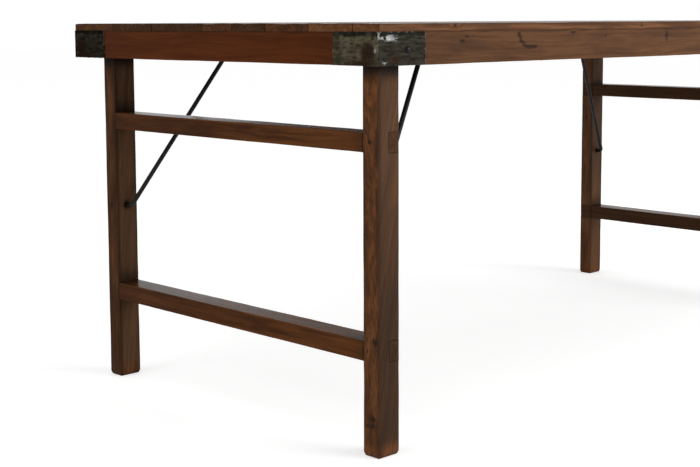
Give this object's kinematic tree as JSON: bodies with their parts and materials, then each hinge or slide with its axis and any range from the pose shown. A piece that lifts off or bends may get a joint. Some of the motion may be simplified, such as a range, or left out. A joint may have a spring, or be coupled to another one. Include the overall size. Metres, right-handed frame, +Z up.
{
  "type": "folding dining table",
  "caption": "Plank-top dining table on a railed frame; H-shaped leg frames fold flat on corner bolts and are hooked upright by swinging iron brace rods.",
  "frame": {"origin": "on the floor under the middle of the top", "axes": "+X along the table's length towards the right end, +Y across it to the rear side, +Z up"},
  "size_m": [1.8358, 0.9266, 0.762],
  "materials": {
    "plank_wood": "worn stained hardwood",
    "rail_wood": "satin stained hardwood",
    "leg_wood": "worn stained hardwood",
    "peg_wood": "end grain",
    "plate_iron": "patinated sheet",
    "rod_iron": "blackened",
    "bolt_iron": "blackened",
    "nail_iron": "dull"
  },
  "bodies": {
    "table_top": {"centre_rail": "rail_wood", "corner_plate_nails": "nail_iron", "front_left_corner_plate": "plate_iron", "front_left_eye_bolt": "rod_iron", "front_left_pivot_bolt": "bolt_iron", "front_rail": "rail_wood", "front_right_corner_plate": "plate_iron", "front_right_eye_bolt": "rod_iron", "front_right_pivot_bolt": "bolt_iron", "left_end_rail": "rail_wood", "left_eye_batten": "rail_wood", "pivot_nuts": "bolt_iron", "pivot_spacers": "bolt_iron", "pivot_washers": "bolt_iron", "plank_nails": "nail_iron", "rear_left_corner_plate": "plate_iron", "rear_left_eye_bolt": "rod_iron", "rear_left_pivot_bolt": "bolt_iron", "rear_rail": "rail_wood", "rear_right_corner_plate": "plate_iron", "rear_right_eye_bolt": "rod_iron", "rear_right_pivot_bolt": "bolt_iron", "right_end_rail": "rail_wood", "right_eye_batten": "rail_wood", "top_plank_1": "plank_wood", "top_plank_2": "plank_wood", "top_plank_3": "plank_wood", "top_plank_4": "plank_wood", "top_plank_5": "plank_wood", "top_plank_6": "plank_wood", "top_plank_7": "plank_wood", "top_plank_8": "plank_wood"},
    "left_leg_frame": {"front_left_leg": "leg_wood", "left_lap_pegs": "peg_wood", "left_lower_stretcher": "leg_wood", "left_upper_stretcher": "leg_wood", "rear_left_leg": "leg_wood"},
    "right_leg_frame": {"front_right_leg": "leg_wood", "rear_right_leg": "leg_wood", "right_lap_pegs": "peg_wood", "right_lower_stretcher": "leg_wood", "right_upper_stretcher": "leg_wood"},
    "front_left_brace": {"front_left_brace_rod": "rod_iron", "front_left_rod_washer": "rod_iron"},
    "front_right_brace": {"front_right_brace_rod": "rod_iron", "front_right_rod_washer": "rod_iron"},
    "rear_left_brace": {"rear_left_brace_rod": "rod_iron", "rear_left_rod_washer": "rod_iron"},
    "rear_right_brace": {"rear_right_brace_rod": "rod_iron", "rear_right_rod_washer": "rod_iron"}
  },
  "joints": [
    {"name": "left_leg_fold", "type": "hinge", "parent": "table_top", "child": "left_leg_frame", "pos_m": [-0.8475, 0, 0.717], "axis": [0, -1, 0], "range_deg": [0, 90]},
    {"name": "right_leg_fold", "type": "hinge", "parent": "table_top", "child": "right_leg_frame", "pos_m": [0.8475, 0, 0.717], "axis": [0, 1, 0], "range_deg": [0, 90]},
    {"name": "front_left_brace_swing", "type": "hinge", "parent": "table_top", "child": "front_left_brace", "pos_m": [-0.63012, -0.26929, 0.714], "axis": [0.3137, -0.9495, 0], "range_deg": [0, 38]},
    {"name": "front_right_brace_swing", "type": "hinge", "parent": "table_top", "child": "front_right_brace", "pos_m": [0.63012, -0.26929, 0.714], "axis": [0.3137, 0.9495, 0], "range_deg": [0, 38]},
    {"name": "rear_left_brace_swing", "type": "hinge", "parent": "table_top", "child": "rear_left_brace", "pos_m": [-0.63012, 0.26929, 0.714], "axis": [-0.3137, -0.9495, 0], "range_deg": [0, 38]},
    {"name": "rear_right_brace_swing", "type": "hinge", "parent": "table_top", "child": "rear_right_brace", "pos_m": [0.63012, 0.26929, 0.714], "axis": [-0.3137, 0.9495, 0], "range_deg": [0, 38]}
  ]
}
